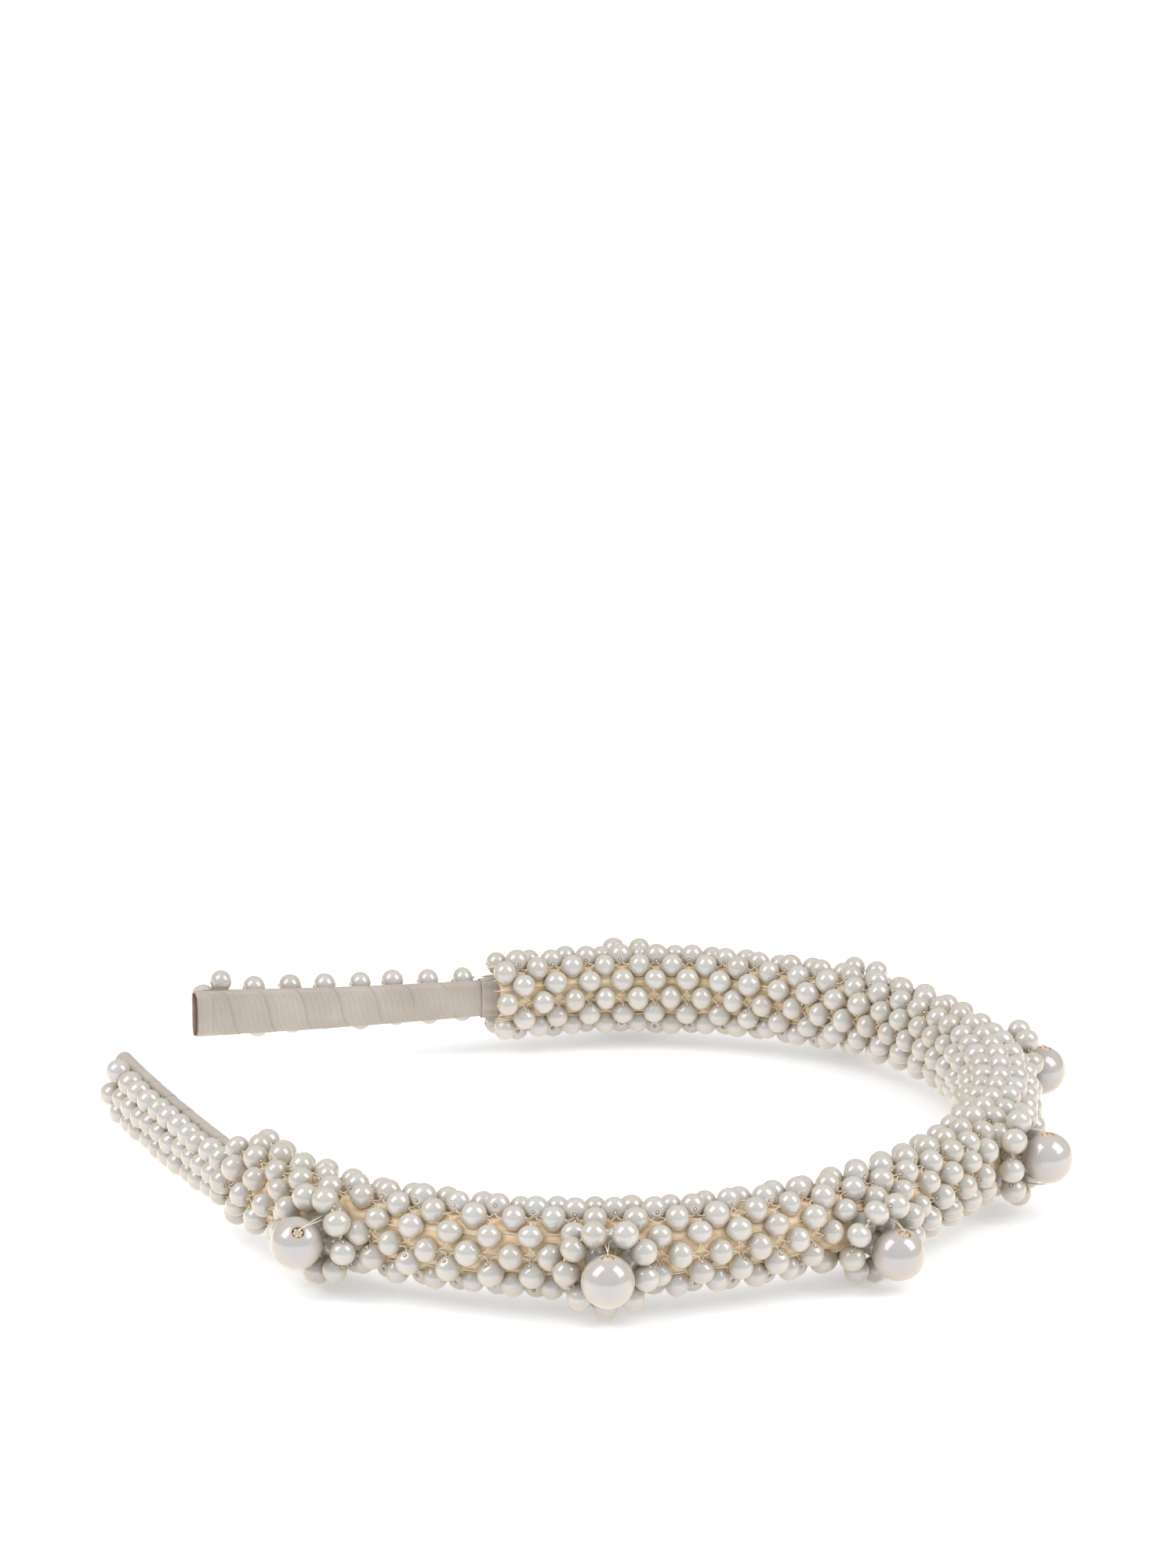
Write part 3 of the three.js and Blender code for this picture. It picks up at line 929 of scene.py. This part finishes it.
# -------- the bare ends

def tip_end(side):
    """How far from the crown the ribbon ends."""
    return band.half + TIP_REACH[side]


def tip_share(u):
    """0 where the net ends, 1 at the tip."""
    return np.clip((np.abs(u) - NET_HALF_LENGTH) / (band.half - NET_HALF_LENGTH), 0, 1)


def wrap_section(angle, half_height, half_thickness):
    """A flat band's section with rounded edges, by angle from straight out."""
    power = 0.42
    n = half_thickness * np.sign(np.cos(angle)) * np.abs(np.cos(angle)) ** power
    h = half_height * np.sign(np.sin(angle)) * np.abs(np.sin(angle)) ** (power * 1.6)
    return n, h


def wrap_half_height(u):
    """Half the height of the wound end, which widens towards the tip."""
    return WRAP_HALF_HEIGHT + WRAP_WIDENS * tip_share(u) ** 1.2


def thicken(piece, thickness):
    """Gives a single surface its thickness, half to each side."""
    solid = piece.modifiers.new("thickness", "SOLIDIFY")
    solid.thickness = thickness
    solid.offset = 0


def add_ribbon_wrap(side):
    """The ribbon, wound in a slant round the end of the band, each turn lapping over the last. There is one
    turn more than the length needs, and the last ones are pushed together at the tip."""
    sign = arm_side(side)
    last = tip_end(side) - 0.1 * MM
    turns = (last - NET_HALF_LENGTH) / RIBBON_PITCH + 1
    steps_a_turn = 56
    steps = int(turns * steps_a_turn)
    across = 13
    crowded = 3 * MM                 # how far in from the tip they are pushed together
    hidden = 4 * MM                  # how far inside the net the ribbon starts
    slanted = 0.98                   # the share of its width that lies along the band
    t = np.linspace(0, turns, steps)
    w = np.linspace(0, 1, across)
    t, w = np.meshgrid(t, w, indexing="ij")
    u = NET_HALF_LENGTH + t * RIBBON_PITCH + (w - 1) * RIBBON_WIDTH * slanted
    over = np.clip(u - (last - crowded), 0, None)
    u = np.where(over > 0, last - crowded * np.exp(-over / crowded), u)
    u = np.clip(u, NET_HALF_LENGTH - hidden, None)
    angle = 0.6 - t * 2 * math.pi
    lap = (0.13 * (1 - w) + 0.04 * np.sin(7 * t + 3 * w)) * MM
    puff = 0.06 * MM * np.sin(w * math.pi)
    n, h = wrap_section(angle, wrap_half_height(u) + lap + puff, WRAP_HALF_THICKNESS + lap + puff)
    points = band.place(sign * u, n, h).reshape(-1, 3)
    weave = np.stack([t * WRAP_GIRTH, w * RIBBON_WIDTH], axis=-1).reshape(-1, 2)
    piece = make_mesh(f"wound_ribbon_{side}", points, grid_quads(steps, across), ribbon, weave=weave)
    thicken(piece, RIBBON_THICKNESS)
    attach(piece, f"{side}_arm")
    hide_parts(f"ribbon_wrap_{side}")


def add_ribbon_end(side):
    """The ribbon's end, brought round the tip and stuck down, its raw edge sealed brown."""
    sign = arm_side(side)
    inner_leg, outer_leg, nose = 2.6 * MM, 7.5 * MM, 3.3 * MM
    total = inner_leg + nose + outer_leg
    bulge = 0.55 * MM                # how far the fold stands out past the tip
    pressed_down = 2.5 * MM          # the end of each leg that lies closer
    rows, across = 48, 26
    v = np.sin(np.linspace(-0.5, 0.5, across) * math.pi)
    run, v = np.meshgrid(np.linspace(0, total, rows), v, indexing="ij")
    bend = np.clip((run - inner_leg) / nose, 0, 1) * math.pi
    on_inner = run < inner_leg
    on_outer = run > inner_leg + nose
    u = bulge * np.sin(bend)
    u[on_inner] = (run - inner_leg)[on_inner]
    u[on_outer] = (inner_leg + nose - run)[on_outer]
    raised = np.clip(np.minimum(run, total - run) / pressed_down, 0, 1)
    half_height = wrap_half_height(tip_end(side) + u) + (0.08 + 0.2 * raised) * MM
    corner = 1 - 0.10 * np.clip((u + 1.5 * MM) / (2 * MM), 0, 1) ** 2
    depth = (1.18 + 0.37 * raised) * MM
    n = -depth * np.cos(bend) * (1 - np.abs(v) ** 5) ** 0.5
    ripple = 0.05 * MM * np.sin(v * 9 + run / total * 4)
    points = band.place(sign * (tip_end(side) + u), n + ripple, v * half_height * corner).reshape(-1, 3)
    edge_at, edge_spread = 0.32, 0.25                     # of the way round the fold
    edge = np.exp(-(((bend / math.pi - edge_at) / edge_spread) ** 2))
    char = 1.2 * edge * np.clip(2.3 - np.abs(v) * 1.45, 0, 1)
    weave = np.stack([v * half_height, run], axis=-1).reshape(-1, 2)
    piece = make_mesh(
        f"folded_ribbon_{side}", points, grid_quads(rows, across), ribbon, {"char": char.ravel()}, weave
    )
    thicken(piece, RIBBON_THICKNESS)
    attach(piece, f"{side}_arm")
    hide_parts(f"ribbon_end_{side}")


def add_ribbon_gather(side):
    """The turn of ribbon where the net starts, drawn up into small pleats."""
    sign = arm_side(side)
    rows, around, pleat_count = 26, 100, 11
    s = np.linspace(0, 1, rows)
    s, a = np.meshgrid(s, full_turn(around), indexing="ij")
    swell = np.sin(math.pi * s) ** 0.7
    pleats = 0.2 * MM * np.sin(pleat_count * a + 2.5 * s) * swell
    bunch = GATHER_BUNCH[side] * np.exp(-(((a - 2.0) / 0.6) ** 2)) * swell
    fat = (0.32 + 0.5 * (1 - s) ** 1.3) * MM + pleats
    u = NET_HALF_LENGTH + GATHER_SHOWS[side] - (1 - s) * GATHER_LENGTH
    n, h = wrap_section(a, wrap_half_height(u) + fat + bunch, 1.15 * MM + fat)
    points = band.place(sign * u, n, h).reshape(-1, 3)
    usual_radius = 3.5 * MM
    weave = np.stack([a * usual_radius, s * GATHER_LENGTH], axis=-1).reshape(-1, 2)
    quads = grid_quads(rows, around, closed_columns=True)
    piece = outward_facing(make_mesh(f"gathered_ribbon_{side}", points, quads, ribbon, weave=weave))
    thicken(piece, RIBBON_THICKNESS * 1.5)
    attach(piece, f"{side}_arm")
    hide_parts(f"ribbon_gather_{side}")


def beads_apart(first, second):
    """How far apart the middles of two beads are."""
    return np.linalg.norm(first["place"] - second["place"])


def strip_beads(side):
    """The flat weave on a bare end: two edge rows and the beads that cross between them, and the loose
    beads at the tip, which crowd out those of the weave that they would sink into."""
    sign = arm_side(side)
    start = NET_HALF_LENGTH + STRIP_FROM_NET
    stop = tip_end(side) - STRIP_STOP[side]
    unit = (stop - start) / STRIP_UNITS[side]
    droop = STRIP_DROOP[side]
    lifts_from, lifts_over = 0.8, 0.15                    # shares of the bare end
    loose = []
    for inwards, h in LOOSE_BEADS[side]:
        loose.append(bead(band.place(sign * (tip_end(side) - inwards), STRIP_DEPTH, h), UP))
    woven = []
    for k in range(STRIP_UNITS[side]):
        u = sign * (start + (k + 0.5) * unit)
        along = band.frame(u)[2]
        spread = 1 + STRIP_WIDENS * tip_share(u)
        lifted = STRIP_TIP_LIFT[side] * max(0.0, tip_share(u) - lifts_from) / lifts_over
        for h in (-STRIP_HALF_HEIGHT, STRIP_HALF_HEIGHT + lifted):
            place = band.place(u, STRIP_DEPTH + STRIP_EDGE_DEPTH, h * spread - droop)
            woven.append(bead(place, along))
    for k in range(STRIP_UNITS[side]):
        u = sign * (start + k * unit)
        woven.append(bead(band.place(u, STRIP_DEPTH + STRIP_CROSS_DEPTH, -droop), UP))
    crowded = 1.7 * BEAD_RADIUS
    kept = [b for b in woven if all(beads_apart(b, other) > crowded for other in loose)]
    return loose + kept


def strip_strands(beads):
    """Thread between neighbouring beads of a strip."""
    pairs = itertools.combinations(beads, 2)
    neighbours = 2.75 * BEAD_RADIUS
    return [strand_between(a, b) for a, b in pairs if beads_apart(a, b) < neighbours]


def add_tip(side):
    """All that a bare end carries: its ribbon, and its strip of beads."""
    add_ribbon_wrap(side)
    add_ribbon_gather(side)
    add_ribbon_end(side)
    beads = strip_beads(side)
    piece = bead_mesh(f"strip_beads_{side}", beads, small_pearl)
    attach(piece, f"{side}_arm")
    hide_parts(f"bead_strip_{side}")
    strands = bead_thread(f"strip_thread_{side}", strip_strands(beads), beads)
    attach(strands, f"{side}_arm")


# -------- the spring band inside

def add_spring_band(side):
    """Half of the flat steel band, a little wider towards its tip."""
    rings, around = 200, 24
    short = 0.4 * MM                 # of the ribbon's fold
    us = arm_side(side) * np.linspace(0, tip_end(side) - short, rings)
    u, a = np.meshgrid(us, full_turn(around), indexing="ij")
    widened = 1 + SPRING_BAND_WIDENS * tip_share(u)
    n, h = wrap_section(a, SPRING_BAND_HALF_HEIGHT * widened, SPRING_BAND_HALF_THICKNESS)
    rows = band.place(u, n, h)
    middles = rows.mean(axis=1, keepdims=True)
    drawn_in = middles + (rows - middles) * 0.02         # closes the band's ends
    rows = np.concatenate([drawn_in[:1], rows, drawn_in[-1:]])
    quads = grid_quads(len(rows), around, closed_columns=True)
    piece = outward_facing(make_mesh(f"spring_band_{side}", rows.reshape(-1, 3), quads, steel))
    flex(piece, side)
    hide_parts(f"core_band_{side}", "core_band_crown")


# -------- the large pearls

def add_large_pearl(seat):
    """A large pearl, a touch out of round, on its own bore."""
    shape, quads, in_bore = bored_ball(64, 40, PEARL_BORE)
    unround = 0.006
    waves = np.sin(shape[:, 0] * 3 + seat["u"] * 90) + np.sin(shape[:, 1] * 4 + 1)
    swell = 1 + unround * waves
    turn = basis_from(seat["bore"], seat["out"] + 0.3 * UP)
    points = (shape * swell[:, None] * PEARL_RADIUS) @ turn.T + seat["middle"]
    piece = make_mesh(
        f"large_pearl_{seat['name']}", points, quads, large_pearl,
        {"bore": in_bore, "tint": np.full(len(points), chance.random())},
    )
    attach(piece, f"pearl_{seat['name']}")
    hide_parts(f"pearl_{seat['name']}")


def smooth_path(points, fine=5):
    """A curve through these points."""
    padded = np.concatenate([2 * points[:1] - points[1:2], points, 2 * points[-1:] - points[-2:-1]])
    t = (np.arange(fine) / fine)[:, None]
    pieces = []
    for a, b, c, d in zip(padded[:-3], padded[1:-2], padded[2:-1], padded[3:]):
        bent = 2 * a - 5 * b + 4 * c - d
        twisted = 3 * b - a - 3 * c + d
        pieces.append(0.5 * (2 * b + (c - a) * t + bent * t**2 + twisted * t**3))
    return np.concatenate(pieces + [points[-1:]])


def add_pearl_thread(seat):
    """The bundle of thread in a large pearl's bore, and the strands down to the net on both sides."""
    out, bore = seat["out"], seat["bore"]
    rise = bore @ out
    level = bore - out * rise
    level /= np.linalg.norm(level)
    across = np.cross(out, level)
    legs = []
    for way in (-1, 1):
        top = way * rise
        for k in (-0.6, 0.6):
            route = [
                way * bore * 0.75,
                way * bore,
                way * bore * 1.04,
                way * level * 1.08 + out * (top - 0.16),
                way * level * 1.12 + out * (top - 1.1) / 2 + across * k * 0.08,
                way * level * 1.10 - out * 1.1 + across * k * 0.16,
                way * level * 1.05 - out * 1.3 + across * k * 0.2,
            ]
            legs.append(smooth_path(seat["middle"] + np.array(route) * PEARL_RADIUS))
    along_bore = np.linspace(-0.95, 0.95, len(legs[0]))[:, None] * bore * PEARL_RADIUS
    bundle = []
    for angle in full_turn(6):
        aside = across * math.cos(angle) + np.cross(bore, across) * math.sin(angle)
        bundle.append(seat["middle"] + aside * PEARL_BUNDLE_RADIUS + along_bore)
    bundle.append(seat["middle"] + along_bore)
    radii = [PEARL_STRAND_RADIUS] * len(legs) + [PEARL_BUNDLE_STRAND_RADIUS] * len(bundle)
    piece = strand_mesh(f"pearl_strands_{seat['name']}", legs + bundle, radii)
    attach(piece, seat["body"])
    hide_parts(f"pearl_thread_{seat['name']}")


def add_ring(seat, beads):
    """The ring of small beads round a large pearl, and its thread."""
    piece = bead_mesh(f"ring_beads_{seat['name']}", beads, small_pearl)
    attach(piece, seat["body"])
    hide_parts(f"pearl_ring_{seat['name']}")
    strands = bead_thread(f"ring_thread_{seat['name']}", ring_strands(beads), beads)
    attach(strands, seat["body"])


# -------- everything together

make_camera()
make_studio()

rings = [(seat, ring_beads(seat)) for seat in seats]
for seat, beads in rings:
    add_large_pearl(seat)
    add_pearl_thread(seat)
    add_ring(seat, beads)

halves = net_beads(rings)
strands = net_strands(rings)
for side in ("left", "right"):
    add_net(side, halves[side], strands[side])
for side in ("left", "right"):
    add_satin(halves, side)
    add_foam(halves, side)
for side in ("left", "right"):
    add_spring_band(side)
for side in ("left", "right"):
    add_tip(side)
